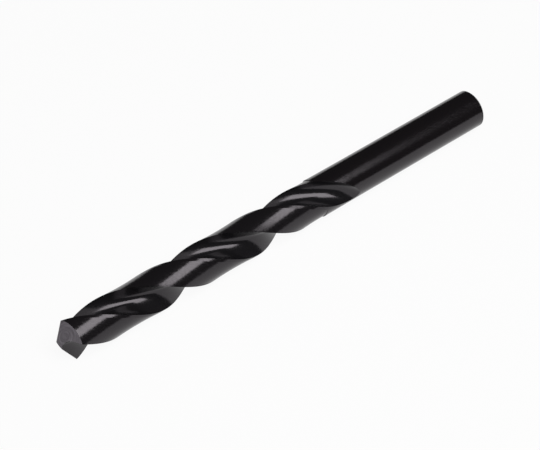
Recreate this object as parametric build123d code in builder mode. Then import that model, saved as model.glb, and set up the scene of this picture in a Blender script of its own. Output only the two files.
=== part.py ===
from build123d import *

import os
from math import asin, atan2, cos, degrees, hypot, pi, radians, sin, sqrt, tan

# A right-hand twist drill with two flutes and a straight shank, ground from one steel bar.
# It lies along X as it would on a bench: the point toward -X, the shank toward +X,
# the middle of its length at x = 0 and the lowest line of its barrel on z = 0.
# A station is a distance along the drill from its tip.

# Driving dimensions, in millimetres and degrees
diameter = 12.0
overall_length = 151.0
flute_length = 101.0
shank_diameter = 11.9  # ground a little under the cutting diameter
shank_length = 48.5
shank_chamfer = 0.5

helix_angle = 30.0
point_angle = 118.0
web_at_point = 2.2  # core left between the flutes
web_growth = 0.019  # core gained for each millimetre toward the shank
land_span = 91.0  # arc of the outside left between two flutes
heel_lean = 21.3  # how far the flute wall leans from the radius where it meets the heel
web_fullness = 0.36  # share of the wall's chord that keeps the web's direction
heel_fullness = 0.35  # share of the wall's chord that keeps the heel's direction
flute_wheel_radius = 31.0  # the wheel that cuts a flute and lifts out at its end
run_out_direction = 54.0  # the way that wheel lifts, ahead of the cutting corner

margin_span = 9.4  # arc of full diameter behind each cutting corner
relief_depth = 0.25  # how far the rest of the land is ground below the margin
relief_length = 88.7

clearance_angle = 12.0  # how steeply the flank falls away behind its lip
flank_cone_angle = 50.0  # half angle of the cone that each flank is ground to
flank_cone_reach = 9.0  # from that cone's apex, along the lip's line, to the web
flank_depth = 2.0  # how far below the cutting corners the flank grind reaches
lying_roll = -59.1  # first cutting corner, measured about the axis from +Y

# How finely the helix is followed, and how far the cutting tools pass what they cut
main_sections = 38
run_out_sections = 8
relief_sections = 32
rake_steps = 4
overshoot = 1.0
relief_overshoot = 1.3  # as a share of the relief's own width
cone_length = 30.0

# Values worked out from the dimensions
radius = diameter / 2
tip_x = -overall_length / 2
twist = 360 * tan(radians(helix_angle)) / (pi * diameter)  # degrees for each millimetre
half_point = radians(point_angle / 2)
flute_span = 180 - land_span
drill_axis = Axis((0, 0, radius), (1, 0, 0))


def polar(distance, angle):
    """Point of a cross-section: distance from the axis, degrees ahead of the cutting corner."""
    return Vector(distance * cos(radians(angle)), distance * sin(radians(angle)))


def half_web(station):
    """Half of the core's thickness at a station."""
    return (web_at_point + web_growth * station) / 2


# The point. Each lip is a straight line that passes beside the axis at half the web, and each
# flank is part of a cone whose apex lies on its lip's line, past the axis. These directions are
# in axes with the corners' cross-section as XY, +X through the cutting corner and +Z to the tip.
lip_offset = half_web(0)
lip_span = sqrt(radius**2 - lip_offset**2)
lip_turn = degrees(asin(lip_offset / radius))
along_lip = polar(1, -lip_turn)
ahead_of_lip = polar(1, 90 - lip_turn)
toward_tip = Vector(0, 0, 1)
lip = along_lip * sin(half_point) - toward_tip * cos(half_point)
lip_normal = along_lip * cos(half_point) + toward_tip * sin(half_point)
clearance = radians(clearance_angle)
flank_normal = lip_normal * cos(clearance) - ahead_of_lip * sin(clearance)
cone_angle = radians(flank_cone_angle)
cone_direction = lip * cos(cone_angle) - flank_normal * sin(cone_angle)
lip_over_web = ahead_of_lip * lip_offset + toward_tip * (lip_span / tan(half_point))
cone_apex = lip_over_web - lip * flank_cone_reach


def chisel_height():
    """Height of the chisel edge over the cutting corners, where the axis meets the flank cone."""
    rise = cone_direction.Z
    widening = cos(cone_angle) ** 2
    apex_run = cone_apex.dot(cone_direction)
    square = rise**2 - widening
    linear = widening * cone_apex.Z - apex_run * rise
    constant = apex_run**2 - widening * cone_apex.dot(cone_apex)
    return (-linear - sqrt(linear**2 - square * constant)) / square


corner_station = chisel_height()


def section_plane(station):
    """Cross-section seen from the tip, with +X through a cutting corner, turned as the helix is."""
    angle = radians(lying_roll - twist * (station - corner_station))
    across = Vector(0, cos(angle), -sin(angle))
    return Plane(origin=(tip_x + station, 0, radius), x_dir=across, z_dir=(-1, 0, 0))


def rake_point(along, core):
    """Point of the flute wall that the point grind turns into a straight lip.

    The lip lies nearer the tip here than at the corner, so the wall has turned back with the
    helix by the time it reaches the corner's cross-section.
    """
    span = sqrt(radius**2 - core**2)
    on_lip = degrees(atan2(core, along) - asin(core / radius))
    turned_back = twist * (span - along) / tan(half_point)
    return polar(hypot(along, core), on_lip - turned_back)


def flute_section(station, lift=0.0):
    """Area a flute takes from a cross-section: straight-lip wall, then hollow wall to the heel."""
    core = half_web(station)
    outside = radius + overshoot
    outer_along = sqrt(outside**2 - core**2)
    raised = polar(lift, run_out_direction)
    rake_points = [
        rake_point(outer_along * (1 - step / rake_steps), core) + raised
        for step in range(rake_steps + 1)
    ]
    heel = polar(radius, flute_span) + raised
    to_heel = polar(1, flute_span - heel_lean)
    past_heel = heel + to_heel * 2 * overshoot
    over_flute = polar(outside + overshoot, flute_span / 2) + raised
    with BuildSketch(section_plane(station)) as section:
        with BuildLine():
            rake = Spline(*rake_points)
            web = rake @ 1
            chord = (heel - web).length
            web_handle = web + (rake % 1) * chord * web_fullness
            heel_handle = heel - to_heel * chord * heel_fullness
            Bezier(web, web_handle, heel_handle, heel)
            Line(heel, past_heel)
            ThreePointArc(past_heel, over_flute, rake @ 0)
        make_face()
    return section.sketch


def relief_section(turned):
    """Area that the relief takes from a half-plane through the axis, turned about it from +Y.

    The relief is one shallow arc from the margin's edge to just past the heel. The half-plane
    meets a land's corner further from the tip the more it is turned.
    """
    angle = radians(turned)
    half_plane = Plane(origin=(0, 0, radius), x_dir=(1, 0, 0), z_dir=(0, -sin(angle), cos(angle)))
    half_width = (land_span + overshoot - margin_span) / 2 / twist
    middle_angle = lying_roll + turned - (land_span + overshoot + margin_span) / 2
    middle = tip_x + corner_station + middle_angle / twist
    reach = half_width * relief_overshoot
    edge_height = radius + relief_depth * (relief_overshoot**2 - 1)
    with BuildSketch(half_plane) as section:
        with BuildLine():
            relief_arc = ThreePointArc(
                (middle - reach, edge_height),
                (middle, radius - relief_depth),
                (middle + reach, edge_height),
            )
            outer_edge = Line(
                (middle + reach, radius + overshoot),
                (middle - reach, radius + overshoot),
            )
            Line(relief_arc @ 1, outer_edge @ 0)
            Line(outer_edge @ 1, relief_arc @ 0)
        make_face()
    return section.sketch


def spread(start, end, count):
    """Evenly spaced stations, both ends included."""
    return [start + (end - start) * step / (count - 1) for step in range(count)]


def wheel_lift(station):
    """How far the flute wheel has lifted out of the bar at a station of the run-out."""
    past = station - run_out_start
    return flute_wheel_radius - sqrt(flute_wheel_radius**2 - past**2)


flute_depth = radius - half_web(flute_length)
run_out_start = flute_length - sqrt(flute_depth * (2 * flute_wheel_radius - flute_depth))

# The bar, before anything is cut into it. It narrows to the shank from where the relief ends.
shank_top = radius + shank_diameter / 2
with BuildPart() as bar:
    with BuildSketch(Plane.XZ):
        with BuildLine():
            Polyline(
                (tip_x, radius),
                (tip_x, diameter),
                (tip_x + relief_length, diameter),
                (-tip_x - shank_length, shank_top),
                (-tip_x - shank_chamfer, shank_top),
                (-tip_x, shank_top - shank_chamfer),
                (-tip_x, radius),
                close=True,
            )
        make_face()
    revolve(axis=drill_axis)

# One flute: the long twisted part, and the run-out where the wheel lifts away
with BuildPart() as flute_cutter:
    loft(sections=[flute_section(s) for s in spread(-overshoot, run_out_start, main_sections)])

with BuildPart() as run_out_cutter:
    run_out_stations = spread(run_out_start, flute_length + overshoot, run_out_sections)
    loft(sections=[flute_section(s, wheel_lift(s)) for s in run_out_stations])

# The relieved land behind one margin. It stops square to the axis, short of the run-out.
first_turn = -lying_roll - twist * (corner_station + overshoot)
last_turn = first_turn + twist * (relief_length + overshoot) + 2 * land_span
with BuildPart() as relief_cutter:
    loft(sections=[relief_section(t) for t in spread(first_turn, last_turn, relief_sections)])
    split(bisect_by=Plane(origin=(tip_x + relief_length, 0, 0), z_dir=(-1, 0, 0)), keep=Keep.TOP)

# One flank: what lies over the cone, on the side of the chisel edge where that flank's land is
corner_plane = section_plane(corner_station)
apex_in_bar = corner_plane.from_local_coords(cone_apex)
cone_plane = Plane(
    origin=apex_in_bar,
    z_dir=corner_plane.from_local_coords(cone_apex + cone_direction) - apex_in_bar,
)
with BuildPart(cone_plane) as flank_cone:
    Cone(
        bottom_radius=0,
        top_radius=cone_length * tan(cone_angle),
        height=cone_length,
        align=(Align.CENTER, Align.CENTER, Align.MIN),
    )

with BuildPart() as flank_cutter:
    with BuildSketch(corner_plane.offset(corner_station + overshoot)):
        with Locations(Location((0, 0), -land_span / 2)):
            with Locations((-overshoot, 0)):
                Rectangle(
                    radius + 2 * overshoot,
                    2 * (radius + overshoot),
                    align=(Align.MIN, Align.CENTER),
                )
    extrude(amount=-(corner_station + overshoot + flank_depth))
    add(flank_cone.part, mode=Mode.SUBTRACT)

with BuildPart() as drill_bit:
    add(bar.part)
    for cutter in (relief_cutter, flute_cutter, run_out_cutter, flank_cutter):
        for turn in (0, 180):
            add(cutter.part.rotate(drill_axis, turn), mode=Mode.SUBTRACT)

os.makedirs("parts", exist_ok=True)
drill_bit.part.label = "drill_bit"
export_step(drill_bit.part, "parts/drill_bit.step")
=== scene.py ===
from math import cos, pi, radians, sin, sqrt, tan

import bpy
import numpy as np
from mathutils import Matrix, Vector


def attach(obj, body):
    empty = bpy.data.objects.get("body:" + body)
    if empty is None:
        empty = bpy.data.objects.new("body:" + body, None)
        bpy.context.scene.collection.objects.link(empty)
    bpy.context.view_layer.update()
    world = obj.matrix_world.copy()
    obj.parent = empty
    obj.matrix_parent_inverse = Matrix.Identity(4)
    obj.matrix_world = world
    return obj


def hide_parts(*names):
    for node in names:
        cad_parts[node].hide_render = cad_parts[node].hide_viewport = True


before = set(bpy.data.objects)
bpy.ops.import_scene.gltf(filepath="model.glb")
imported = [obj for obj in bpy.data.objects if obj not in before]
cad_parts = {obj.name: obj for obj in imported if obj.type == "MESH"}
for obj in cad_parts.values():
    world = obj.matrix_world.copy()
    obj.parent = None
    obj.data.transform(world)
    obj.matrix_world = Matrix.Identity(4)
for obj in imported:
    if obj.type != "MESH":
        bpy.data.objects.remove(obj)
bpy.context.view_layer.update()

# A black-oxide twist drill lying on a pale studio floor. Its visible skin is worked out from the
# same dimensions as the solid, so that the long twisted surfaces reflect cleanly.
# Lengths are millimetres and angles degrees; MM turns the finished points to metres.
MM = 0.001
diameter = 12.0
overall_length = 151.0
flute_length = 101.0
shank_diameter = 11.9
shank_length = 48.5
shank_chamfer = 0.5
helix_angle = 30.0
point_angle = 118.0
web_at_point = 2.2
web_growth = 0.019  # for each millimetre back from the point
land_span = 91.0
heel_lean = 21.3
web_fullness = 0.36
heel_fullness = 0.35
flute_wheel_radius = 31.0
run_out_direction = 54.0
margin_span = 9.4
relief_depth = 0.25
relief_length = 88.7
relief_overshoot = 1.3  # the relief's arc is drawn this many times as wide as the relief
relief_past_heel = 1.0
clearance_angle = 12.0
flank_cone_angle = 50.0
flank_cone_reach = 9.0
lying_roll = -59.1

radius = diameter / 2
shank_radius = shank_diameter / 2
shank_start = overall_length - shank_length
tip_x = -overall_length / 2
twist = tan(radians(helix_angle)) / radius  # radians for each millimetre
half_point = radians(point_angle / 2)
flute_span = radians(180 - land_span)
margin = radians(margin_span)

# How finely the skin is drawn. A station is a distance back from the point along the axis. Each
# ring of points crosses flute 1, land 2, flute 2 and land 1, and a column follows one of its
# points from ring to ring.
flute_steps_in = 18
flute_steps_out = 30
relief_steps = 22
margin_steps = 8
tip_rings = 10
tip_blend_station = 6.0
body_spacing = 0.5
run_out_spacing = 0.4
tongue_spacing = 0.1
tongue_length = 2.9
past_tongue = 0.6
before_relief_end = 0.3
relief_end_half_width = 0.01
first_shank_spacing = 1.0
shank_rings = 40
end_shares = (0.75, 0.5, 0.25)
chisel_steps = 8
flank_rings = 9
flank_middle_distance = 2.7
flank_middle_angle = -40.0

flute_count = flute_steps_in + flute_steps_out + 1
land_count = relief_steps + margin_steps - 1
half_count = flute_count + land_count
ring_count = 2 * half_count
LAND, FLUTE, FLANK, SHANK = range(4)


def direction(angle):
    """Unit vector at an angle in a cross-section."""
    return np.array([cos(angle), sin(angle)])


def turned(points, angle):
    """Points turned about the axis, each by its own angle."""
    c, s = np.cos(angle), np.sin(angle)
    x, y = points[:, 0], points[:, 1]
    return np.stack([x * c - y * s, x * s + y * c], axis=1)


def half_web(station):
    return (web_at_point + web_growth * station) / 2


# ---- The flank cones, in axes with +X through the cutting corner and +Z toward the tip ----
lip_offset = half_web(0)
lip_span = sqrt(radius**2 - lip_offset**2)
lip_turn = np.arcsin(lip_offset / radius)
along_lip = np.array([cos(lip_turn), -sin(lip_turn), 0.0])
ahead_of_lip = np.array([sin(lip_turn), cos(lip_turn), 0.0])
toward_tip = np.array([0.0, 0.0, 1.0])
lip = along_lip * sin(half_point) - toward_tip * cos(half_point)
lip_normal = along_lip * cos(half_point) + toward_tip * sin(half_point)
clearance = radians(clearance_angle)
flank_normal = lip_normal * cos(clearance) - ahead_of_lip * sin(clearance)
cone_angle = radians(flank_cone_angle)
cone_direction = lip * cos(cone_angle) - flank_normal * sin(cone_angle)
lip_foot = ahead_of_lip * lip_offset + toward_tip * lip_span / tan(half_point)
cone_apex = lip_foot - lip * flank_cone_reach


def cone_height(x, y):
    """Height of flank 1's cone over the cutting corners at points of that cross-section."""
    rise = cone_direction[2]
    widening = cos(cone_angle) ** 2
    from_apex = np.stack([x - cone_apex[0], y - cone_apex[1], 0 * x - cone_apex[2]], axis=-1)
    run = from_apex @ cone_direction
    square = rise**2 - widening
    linear = run * rise - widening * from_apex[..., 2]
    constant = run**2 - widening * (from_apex**2).sum(axis=-1)
    root = np.sqrt(np.maximum(linear**2 - square * constant, 0))
    return (-linear - root) / square if square > 0 else (-linear + root) / square


def flank_gap(x, y):
    """How much higher flank 1's cone is than flank 2's."""
    return cone_height(x, y) - cone_height(-x, -y)


corner_station = float(cone_height(np.array(0.0), np.array(0.0)))


def flank_height(x, y, side):
    """Height of the ground point: each land's own cone, and the lower of the two in the web."""
    one, two = cone_height(x, y), cone_height(-x, -y)
    own = np.where(side == 1, one, two)
    return np.where(np.hypot(x, y) < web_at_point, np.minimum(one, two), own)


# ---- Cross-sections, with the cutting corner of flute 1 on +X ----
def flute_curve(station, steps=130):
    """Points of the flute from its cutting corner in to the web and out to the heel."""
    core = half_web(station)
    span = sqrt(radius**2 - core**2)
    along = span * (1 - np.linspace(0, 1, steps))
    turned_back = twist * (span - along) / tan(half_point)
    angle = np.arctan2(core, along) - np.arcsin(core / radius) - turned_back
    distance = np.hypot(along, core)
    rake = np.stack([distance * np.cos(angle), distance * np.sin(angle)], axis=1)
    web = rake[-1]
    web_way = direction(angle[-1] + pi / 2)
    heel = radius * direction(flute_span)
    heel_way = direction(flute_span - radians(heel_lean))
    chord = np.linalg.norm(heel - web)
    handle_a = web + web_way * chord * web_fullness
    handle_b = heel - heel_way * chord * heel_fullness
    t = np.linspace(0, 1, steps + 1)[1:, None]
    wall = (1 - t) ** 3 * web + 3 * (1 - t) ** 2 * t * handle_a + 3 * (1 - t) * t**2 * handle_b
    return np.concatenate([rake, wall + t**3 * heel])


def barrel_radius(station):
    """Radius of the bar: full to the end of the relief, then narrowing to the shank."""
    share = np.clip((station - relief_length) / (shank_start - relief_length), 0, 1)
    return radius + (shank_radius - radius) * share


def land_radius(angle, station):
    """Radius of the outside at an angle ahead of a cutting corner."""
    full = barrel_radius(station)
    behind = np.mod(-angle, pi)
    if station > relief_length:
        return np.full_like(behind, full)
    relief_span = radians(land_span + relief_past_heel)
    middle = (relief_span + margin) / 2
    half_width = (relief_span - margin) / 2 / twist
    sagitta = relief_depth * relief_overshoot**2
    arc = ((half_width * relief_overshoot) ** 2 + sagitta**2) / (2 * sagitta)
    from_middle = np.minimum(np.abs(behind - middle) / twist, half_width * relief_overshoot)
    relieved = radius - relief_depth + arc - np.sqrt(arc**2 - from_middle**2)
    return np.minimum(np.where(behind < margin, full, relieved), full)


flute_depth = radius - half_web(flute_length)
run_out_start = flute_length - sqrt(flute_depth * (2 * flute_wheel_radius - flute_depth))
flute_surely_closed = flute_length + 1
fewest_open_points = 3


def crossing(curve, depth, inside, outside):
    """Where a curve leaves the bar between two neighbouring points of it."""
    share = depth[inside] / (depth[inside] - depth[outside])
    return (curve[inside] + (curve[outside] - curve[inside]) * share)[None]


def open_flute(station):
    """The part of the flute curve that is inside the bar, or None where the flute has closed."""
    if station > flute_surely_closed:
        return None
    past = max(station - run_out_start, 0)
    if past == 0:
        return flute_curve(station)
    lift = flute_wheel_radius - sqrt(flute_wheel_radius**2 - past**2)
    curve = flute_curve(station) + lift * direction(radians(run_out_direction))
    angle = np.arctan2(curve[:, 1], curve[:, 0])
    depth = land_radius(angle, station) - np.hypot(curve[:, 0], curve[:, 1])
    inside = np.where(depth > 0)[0]
    if len(inside) < fewest_open_points:
        return None
    first, last = inside[0], inside[-1]
    pieces = [curve[first : last + 1]]
    if first > 0:
        pieces.insert(0, crossing(curve, depth, first, first - 1))
    if last < len(curve) - 1:
        pieces.append(crossing(curve, depth, last, last + 1))
    return np.concatenate(pieces)


def resample(curve, shares):
    """Points of a curve at shares of its length."""
    steps = np.linalg.norm(np.diff(curve, axis=0), axis=1)
    length = np.concatenate([[0], np.cumsum(steps)])
    wanted = shares * length[-1]
    return np.stack([np.interp(wanted, length, curve[:, k]) for k in (0, 1)], axis=1)


# ---- The tip, where helix lines through section points meet the flanks ----
def near_tip(section_at):
    """Section points near the tip, as a function of each point's own station."""
    near, far = section_at(0.0), section_at(tip_blend_station)

    def points_at(stations):
        return near + (far - near) * (stations / tip_blend_station)[:, None]

    return points_at


def heights_on_flank(points_at, side, rounds=60):
    """Heights at which the helix lines through section points meet the flanks, by half steps."""
    height = np.zeros(len(side))
    for _ in range(rounds):
        at = turned(points_at(corner_station - height), twist * height)
        height = 0.5 * height + 0.5 * flank_height(at[:, 0], at[:, 1], side)
    return height


def chisel_share(lowest=0.3, highest=0.7, count=400):
    """Share of the flute's length at which the two flanks are equally high."""
    shares = np.linspace(lowest, highest, count)
    points_at = near_tip(lambda station: resample(flute_curve(station), shares))
    height = heights_on_flank(points_at, np.ones(len(shares)))
    at = turned(points_at(corner_station - height), twist * height)
    above = np.sign(flank_gap(at[:, 0], at[:, 1]))
    return shares[np.where(np.diff(above) != 0)[0][0]]


chisel_at = chisel_share()
shares_in = np.linspace(0, chisel_at, flute_steps_in + 1)
shares_out = np.linspace(chisel_at, 1, flute_steps_out + 1)[1:]
flute_shares = np.concatenate([shares_in, shares_out])


# ---- Rings ----
def half_ring(station):
    """Points of flute 1 and then land 2 in a cross-section, and whether the flute has closed."""
    curve = open_flute(station)
    if curve is None:
        closing = barrel_radius(station) * direction(radians(run_out_direction))
        flute = np.repeat(closing[None], flute_count, axis=0)
    else:
        flute = resample(curve, flute_shares)
    heel_at = np.arctan2(flute[-1, 1], flute[-1, 0])
    corner_at = pi + np.arctan2(flute[0, 1], flute[0, 0])
    relief_at = np.linspace(heel_at, pi - margin, relief_steps + 1)
    margin_at = np.linspace(pi - margin, corner_at, margin_steps + 1)
    land_at = np.concatenate([relief_at[1:], margin_at[1:-1]])
    land = land_radius(land_at, station)[:, None] * np.stack([np.cos(land_at), np.sin(land_at)], 1)
    return np.concatenate([flute, land]), curve is None


def ring(station):
    half, closed = half_ring(station)
    return np.concatenate([half, -half]), closed


def in_world(points, station):
    """Cross-section points at their stations, as points of the lying drill."""
    placed = turned(points, radians(lying_roll) - twist * (station - corner_station))
    station = np.broadcast_to(station, len(points))
    return np.stack([tip_x + station, placed[:, 0], radius - placed[:, 1]], axis=1)


def ring_grain(points, station):
    """Grain coordinates of a ring: distance round the section and distance along the drill."""
    step = np.linalg.norm(np.diff(np.concatenate([points, points[:1]]), axis=0), axis=1)
    around = np.concatenate([[0], np.cumsum(step)[:-1]])
    return np.stack([around, np.broadcast_to(station, len(points)), 0 * around], axis=1)


# ---- The skin, as it is built ----
point_groups = []
grain_groups = []
faces = []
face_zones = []
sharp = set()


def add_points(points, grain):
    """Adds points with their grain coordinates and returns their numbers."""
    start = sum(len(group) for group in point_groups)
    point_groups.append(points)
    grain_groups.append(grain)
    return np.arange(start, start + len(points))


def add_face(corners, zone):
    """Adds a face, leaving out corners that are the same point."""
    corners = list(dict.fromkeys(int(corner) for corner in corners))
    if len(corners) > 2:
        faces.append(corners)
        face_zones.append(zone)


def neighbours(count):
    """Places round a closed loop, each with the one that follows it."""
    return [(k, (k + 1) % count) for k in range(count)]


def mark_sharp(line):
    for a, b in zip(line[:-1], line[1:]):
        if a != b:
            sharp.add((min(a, b), max(a, b)))


def mark_loop_sharp(loop):
    mark_sharp([*loop, loop[0]])


def add_closed_ring(points, grain):
    """Adds a ring past the run-out, where all the columns of a flute share one point."""
    kept = np.array([0, *range(flute_count, half_count)])
    kept = np.concatenate([kept, kept + half_count])
    numbers = np.zeros(ring_count, int)
    numbers[kept] = add_points(points[kept], grain[kept])
    numbers[:flute_count] = numbers[0]
    numbers[half_count : half_count + flute_count] = numbers[half_count]
    return numbers


# the rings of the tip, then of the body and the shank
side_of_half = [1] * (flute_steps_in + 1) + [2] * (flute_steps_out + land_count)
column_side = np.array(side_of_half + [3 - side for side in side_of_half])
section_near_tip = near_tip(lambda station: ring(station)[0])
tip_heights = heights_on_flank(section_near_tip, column_side)
tip_stations = corner_station - tip_heights
rim_points = turned(section_near_tip(tip_stations), twist * tip_heights)
rings = []
for step in range(tip_rings):
    stations = tip_stations + (tip_blend_station - tip_stations) * step / tip_rings
    points = section_near_tip(stations)
    rings.append(add_points(in_world(points, stations), ring_grain(points, stations)))

tongue_start = flute_length - tongue_length
body_stations = np.concatenate([
    np.arange(tip_blend_station, relief_length - before_relief_end, body_spacing),
    [relief_length - relief_end_half_width, relief_length + relief_end_half_width],
    np.arange(relief_length + run_out_spacing, tongue_start, run_out_spacing),
    np.arange(tongue_start, flute_length + past_tongue, tongue_spacing),
    [shank_start],
    np.linspace(shank_start + first_shank_spacing, overall_length - shank_chamfer, shank_rings),
])
relief_end_rings = []
for station in body_stations:
    points, closed = ring(station)
    add_ring = add_closed_ring if closed else add_points
    if abs(station - relief_length) < 2 * relief_end_half_width:
        relief_end_rings.append(len(rings))
    rings.append(add_ring(in_world(points, station), ring_grain(points, station)))

column_zones = ([FLUTE] * (flute_count - 1) + [LAND] * (land_count + 1)) * 2
for ahead, behind in zip(rings[:-1], rings[1:]):
    for k, n in neighbours(ring_count):
        add_face([ahead[k], behind[k], behind[n], ahead[n]], column_zones[k])

open_rings = [numbers for numbers in rings if numbers[0] != numbers[1]]
relieved_rings = rings[: relief_end_rings[-1] + 1]
for corner_column in (0, half_count):
    heel_column = corner_column + flute_count - 1
    margin_column = heel_column + relief_steps
    mark_sharp([numbers[corner_column] for numbers in open_rings])
    mark_sharp([numbers[heel_column] for numbers in open_rings])
    mark_sharp([numbers[margin_column] for numbers in relieved_rings])
for number in (0, *relief_end_rings):
    mark_loop_sharp(rings[number])


# the chamfer and the flat end of the shank
def shrunk(points, share):
    """Points of the skin at a share of their distance from the axis."""
    inner = points.copy()
    inner[:, 1] *= share
    inner[:, 2] = radius + (points[:, 2] - radius) * share
    return inner


def end_grain(points):
    """Grain coordinates on the shank's end: across it and up it."""
    return np.column_stack([points[:, 1:], np.zeros(len(points))])


shank_edge = np.array(list(dict.fromkeys(rings[-1].tolist())))
shank_edge_points = np.concatenate(point_groups)[shank_edge]
chamfer_points = shrunk(shank_edge_points, (shank_radius - shank_chamfer) / shank_radius)
chamfer_points[:, 0] = overall_length / 2
end_loops = [shank_edge, add_points(chamfer_points, end_grain(chamfer_points))]
for share in end_shares:
    inner_points = shrunk(chamfer_points, share)
    end_loops.append(add_points(inner_points, end_grain(inner_points)))
centre = add_points(np.array([[overall_length / 2, 0.0, radius]]), np.zeros((1, 3)))[0]
end_loops.append([centre] * len(shank_edge))
for outer, inner in zip(end_loops[:-1], end_loops[1:]):
    for k, n in neighbours(len(shank_edge)):
        add_face([outer[k], inner[k], inner[n], outer[n]], SHANK)
mark_loop_sharp(end_loops[0])
mark_loop_sharp(end_loops[1])

# the chisel edge, where the two cones are equally high
chisel_end = rim_points[flute_steps_in]
across_chisel = np.array([-chisel_end[1], chisel_end[0]]) / np.linalg.norm(chisel_end)


def on_chisel(base, reach=0.4, rounds=40):
    """The point of the chisel edge that lies across from a point of its chord."""
    low, high = -reach, reach
    for _ in range(rounds):
        middle = (low + high) / 2
        gap_middle = flank_gap(*(base + across_chisel * middle))
        gap_low = flank_gap(*(base + across_chisel * low))
        if np.sign(gap_middle) == np.sign(gap_low):
            low = middle
        else:
            high = middle
    return base + across_chisel * middle


def add_tip_points(points, side=1):
    """Adds points of a flank, given in flank 1's cross-section and turned over for flank 2."""
    heights = cone_height(points[:, 0], points[:, 1])
    placed = turned(points * side, np.full(len(points), radians(lying_roll)))
    x = tip_x + corner_station - heights
    world = np.stack([x, placed[:, 0], radius - placed[:, 1]], axis=1)
    return add_points(world, 0 * world)


chisel_shares = np.linspace(-1, 1, 2 * chisel_steps + 1)[1:-1]
chisel_points = np.array([on_chisel(chisel_end * share) for share in chisel_shares])
chisel_numbers = add_tip_points(chisel_points)
mark_sharp([rings[0][half_count + flute_steps_in], *chisel_numbers, rings[0][flute_steps_in]])

# the flanks: loops from the rim and the chisel edge in to a point in the middle of each
flank_middle = flank_middle_distance * direction(radians(flank_middle_angle))
for side, start in ((1, half_count + flute_steps_in), (-1, flute_steps_in)):
    rim_columns = [(start + k) % ring_count for k in range(half_count + 1)]
    # flank 1's loop comes back along the chisel edge, and flank 2's goes forward along it
    rim_loop = np.concatenate([rings[0][rim_columns], chisel_numbers[::-side]])
    loop_points = np.concatenate([rim_points[rim_columns], chisel_points[::-side]]) * side
    loops = [rim_loop]
    for share in 1 - np.arange(1, flank_rings) / flank_rings:
        loops.append(add_tip_points(flank_middle + (loop_points - flank_middle) * share, side))
    loops.append([add_tip_points(flank_middle[None], side)[0]] * len(rim_loop))
    for outer, inner in zip(loops[:-1], loops[1:]):
        for k, n in neighbours(len(rim_loop)):
            add_face([outer[k], outer[n], inner[n], inner[k]], FLANK)

# ---- The mesh ----
all_points = np.concatenate(point_groups)
mesh = bpy.data.meshes.new("drill_skin")
mesh.from_pydata((all_points * MM).tolist(), [], faces)
mesh.update()
zones = np.array(face_zones)
face_stations = np.array([all_points[corners[0], 0] - tip_x for corners in faces])
zones[(zones == LAND) & (face_stations > relief_length)] = SHANK
mesh.polygons.foreach_set("material_index", zones.astype(np.int32))
mesh.polygons.foreach_set("use_smooth", np.ones(len(faces), bool))
edge_ends = np.zeros(len(mesh.edges) * 2, np.int32)
mesh.edges.foreach_get("vertices", edge_ends)
edge_flags = [(min(ends), max(ends)) in sharp for ends in edge_ends.reshape(-1, 2).tolist()]
mesh.edges.foreach_set("use_edge_sharp", np.array(edge_flags, bool))

# grain on the flanks: distance from the flank's middle, so that its lines are arcs
face_corners = np.concatenate(faces)
corner_face = np.repeat(np.arange(len(faces)), [len(corners) for corners in faces])
corner_grain = np.concatenate(grain_groups)[face_corners]
section = np.stack([all_points[:, 1], radius - all_points[:, 2]], axis=1)
first_flank, second_flank = np.split(np.where(zones == FLANK)[0], 2)
for flank_faces, side in ((first_flank, 1), (second_flank, -1)):
    middle = turned(flank_middle[None] * side, np.array([radians(lying_roll)]))
    on_this_flank = np.isin(corner_face, flank_faces)
    at = section[face_corners[on_this_flank]]
    corner_grain[on_this_flank] = np.column_stack([np.hypot(*(at - middle).T), at])
grain_attribute = mesh.attributes.new("grain", "FLOAT_VECTOR", "CORNER")
grain_attribute.data.foreach_set("vector", corner_grain.astype(np.float32).ravel())

drill = bpy.data.objects.new("drill_skin", mesh)
bpy.context.scene.collection.objects.link(drill)
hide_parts("drill_bit")
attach(drill, "root")


# ---- Materials ----
reflection_tint = (1.0, 0.93, 0.99, 1)  # faintly purple
line_detail = 4.0
mottle_frequency = 1.6
mottle_detail = 3.0


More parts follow.
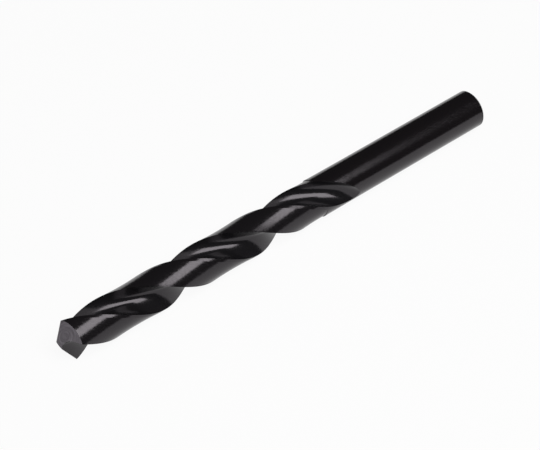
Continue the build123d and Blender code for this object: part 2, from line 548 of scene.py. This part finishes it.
def steel(name, colour, streak, gloss, roughness, stretch, depth, mottle):
    """Steel with drawn-out grinding lines and a finer, even mottle over them.

    streak is the share by which the lines darken and lighten the colour, roughness the lowest and
    the highest roughness, stretch the lines' frequency along each grain coordinate, depth the
    height of the bumps in metres, and mottle how strongly the mottle counts in them against the
    lines.
    """
    material = bpy.data.materials.new(name)
    material.use_nodes = True
    nodes, links = material.node_tree.nodes, material.node_tree.links
    shader = nodes["Principled BSDF"]
    shader.inputs["Metallic"].default_value = 0.0
    shader.inputs["Specular IOR Level"].default_value = gloss
    shader.inputs["Specular Tint"].default_value = reflection_tint

    attribute = nodes.new("ShaderNodeAttribute")
    attribute.attribute_name = "grain"
    mapping = nodes.new("ShaderNodeMapping")
    mapping.inputs["Scale"].default_value = stretch
    links.new(attribute.outputs["Vector"], mapping.inputs["Vector"])
    lines = nodes.new("ShaderNodeTexNoise")
    lines.inputs["Scale"].default_value = 1.0
    lines.inputs["Detail"].default_value = line_detail
    links.new(mapping.outputs["Vector"], lines.inputs["Vector"])
    speckle = nodes.new("ShaderNodeTexNoise")
    speckle.inputs["Scale"].default_value = mottle_frequency
    speckle.inputs["Detail"].default_value = mottle_detail
    links.new(attribute.outputs["Vector"], speckle.inputs["Vector"])

    ramp = nodes.new("ShaderNodeMapRange")
    ramp.inputs["From Min"].default_value = 0.3
    ramp.inputs["From Max"].default_value = 0.7
    ramp.inputs["To Min"].default_value = roughness[0]
    ramp.inputs["To Max"].default_value = roughness[1]
    links.new(speckle.outputs["Fac"], ramp.inputs["Value"])
    links.new(ramp.outputs["Result"], shader.inputs["Roughness"])

    tint = nodes.new("ShaderNodeMix")
    tint.data_type = "RGBA"
    tint.inputs["A"].default_value = (*[c * (1 - streak) for c in colour], 1)
    tint.inputs["B"].default_value = (*[c * (1 + streak) for c in colour], 1)
    links.new(lines.outputs["Fac"], tint.inputs["Factor"])
    links.new(tint.outputs["Result"], shader.inputs["Base Color"])

    surface = nodes.new("ShaderNodeMath")
    surface.operation = "MULTIPLY_ADD"
    surface.inputs[1].default_value = mottle
    links.new(speckle.outputs["Fac"], surface.inputs[0])
    links.new(lines.outputs["Fac"], surface.inputs[2])
    height = nodes.new("ShaderNodeBump")
    height.inputs["Strength"].default_value = 1.0
    height.inputs["Distance"].default_value = depth
    links.new(surface.outputs["Value"], height.inputs["Height"])
    links.new(height.outputs["Normal"], shader.inputs["Normal"])
    return material


def land_finish():
    """Black oxide over the ground lands, with lines running round the drill."""
    return steel(
        "oxide_land", colour=(0.0085, 0.0075, 0.0085), streak=0.3, gloss=0.5,
        roughness=(0.12, 0.26), stretch=(0.6, 9, 1), depth=5e-6, mottle=2.2,
    )


def flute_finish():
    """Black oxide over the flutes, with lines running along them."""
    return steel(
        "oxide_flute", colour=(0.009, 0.0085, 0.0095), streak=0.3, gloss=0.5,
        roughness=(0.12, 0.22), stretch=(9, 0.25, 1), depth=3e-6, mottle=1.0,
    )


def flank_finish():
    """The flanks, ground after the blackening: dull grey steel with arcs of grinding."""
    return steel(
        "ground_flank", colour=(0.152, 0.139, 0.155), streak=0.9, gloss=0.2,
        roughness=(0.4, 0.6), stretch=(3.2, 0.3, 0.3), depth=6e-5, mottle=0.3,
    )


def shank_finish():
    """Black oxide over the shank, a little browner and smoother than on the lands."""
    return steel(
        "oxide_shank", colour=(0.0072, 0.006, 0.0068), streak=0.3, gloss=0.5,
        roughness=(0.1, 0.22), stretch=(0.6, 9, 1), depth=5e-6, mottle=2.2,
    )


# in the order of the zones' numbers
for finish in (land_finish, flute_finish, flank_finish, shank_finish):
    mesh.materials.append(finish())


# ---- Studio, in metres ----
floor_centre = Vector((0, 0.1, 0))
floor_half_size = 2.0
floor_colour = (0.82, 0.82, 0.82, 1)
floor_glow = 0.93  # how far the floor goes to white where it is seen directly or reflected
room_colour = (0.03, 0.03, 0.03, 1)
white = (1, 1, 1, 1)


def paper():
    """Pale paper, nearly white to the camera and in reflections, that keeps the drill's shadow."""
    material = bpy.data.materials.new("floor")
    material.use_nodes = True
    nodes, links = material.node_tree.nodes, material.node_tree.links
    shader = nodes["Principled BSDF"]
    shader.inputs["Base Color"].default_value = floor_colour
    shader.inputs["Roughness"].default_value = 0.9
    shader.inputs["Specular IOR Level"].default_value = 0.0
    light_path = nodes.new("ShaderNodeLightPath")
    seen = nodes.new("ShaderNodeMath")
    seen.operation = "MAXIMUM"
    links.new(light_path.outputs["Is Camera Ray"], seen.inputs[0])
    links.new(light_path.outputs["Is Glossy Ray"], seen.inputs[1])
    amount = nodes.new("ShaderNodeMath")
    amount.operation = "MULTIPLY"
    amount.inputs[1].default_value = floor_glow
    links.new(seen.outputs[0], amount.inputs[0])
    glow = nodes.new("ShaderNodeEmission")
    glow.inputs["Color"].default_value = white
    mix = nodes.new("ShaderNodeMixShader")
    links.new(amount.outputs[0], mix.inputs["Fac"])
    links.new(shader.outputs["BSDF"], mix.inputs[1])
    links.new(glow.outputs["Emission"], mix.inputs[2])
    links.new(mix.outputs["Shader"], nodes["Material Output"].inputs["Surface"])
    return material


def make_floor():
    ways = ((-1, -1), (1, -1), (1, 1), (-1, 1))
    corners = [floor_centre + Vector((x, y, 0)) * floor_half_size for x, y in ways]
    floor_mesh = bpy.data.meshes.new("floor")
    floor_mesh.from_pydata(corners, [], [(0, 1, 2, 3)])
    floor_mesh.materials.append(paper())
    floor = bpy.data.objects.new("floor", floor_mesh)
    bpy.context.scene.collection.objects.link(floor)


def make_world():
    """A dim grey room that is white where the camera looks straight at it."""
    world = bpy.data.worlds.new("studio")
    bpy.context.scene.world = world
    world.use_nodes = True
    nodes, links = world.node_tree.nodes, world.node_tree.links
    room = nodes["Background"]
    room.inputs["Color"].default_value = room_colour
    backdrop = nodes.new("ShaderNodeBackground")
    backdrop.inputs["Color"].default_value = white
    light_path = nodes.new("ShaderNodeLightPath")
    mix = nodes.new("ShaderNodeMixShader")
    links.new(light_path.outputs["Is Camera Ray"], mix.inputs["Fac"])
    links.new(room.outputs["Background"], mix.inputs[1])
    links.new(backdrop.outputs["Background"], mix.inputs[2])
    links.new(mix.outputs["Shader"], nodes["World Output"].inputs["Surface"])


def softbox(name, way, distance, size, watts):
    """A rectangular lamp facing the drill, its width as near along the drill as it can lie."""
    lamp = bpy.data.lights.new(name, "AREA")
    lamp.shape = "RECTANGLE"
    lamp.size, lamp.size_y = size
    lamp.energy = watts
    way = Vector(way).normalized()
    width_way = (Vector((1, 0, 0)) - way * way.x).normalized()
    turn = Matrix((width_way, way.cross(width_way), way)).transposed()
    box = bpy.data.objects.new(name, lamp)
    box.matrix_world = Matrix.Translation(way * distance) @ turn.to_4x4()
    bpy.context.scene.collection.objects.link(box)


make_floor()
make_world()
softbox("key_softbox", way=(0.09, -0.48, 0.87), distance=0.9, size=(0.74, 0.56), watts=7)
softbox("fill_softbox", way=(-0.6, -0.1, 0.79), distance=1.3, size=(1.2, 1.2), watts=3)

# ---- Camera, in metres, at the photograph's angle ----
camera_place = Vector((-0.206931, -0.255053, 0.347154))
camera_azimuth = radians(-38.599)
camera_elevation = radians(46.308)
camera_lens = 110.11
sensor_width = 36

right = Vector((cos(camera_azimuth), sin(camera_azimuth), 0))
up = Vector((
    -sin(camera_azimuth) * sin(camera_elevation),
    cos(camera_azimuth) * sin(camera_elevation),
    cos(camera_elevation),
))
camera_turn = Matrix((right, up, right.cross(up))).transposed()
camera = bpy.data.cameras.new("camera")
camera.sensor_width = sensor_width
camera.lens = camera_lens
viewer = bpy.data.objects.new("camera", camera)
viewer.matrix_world = Matrix.Translation(camera_place) @ camera_turn.to_4x4()
bpy.context.scene.collection.objects.link(viewer)
bpy.context.scene.camera = viewer
bpy.context.scene.view_settings.view_transform = "Standard"
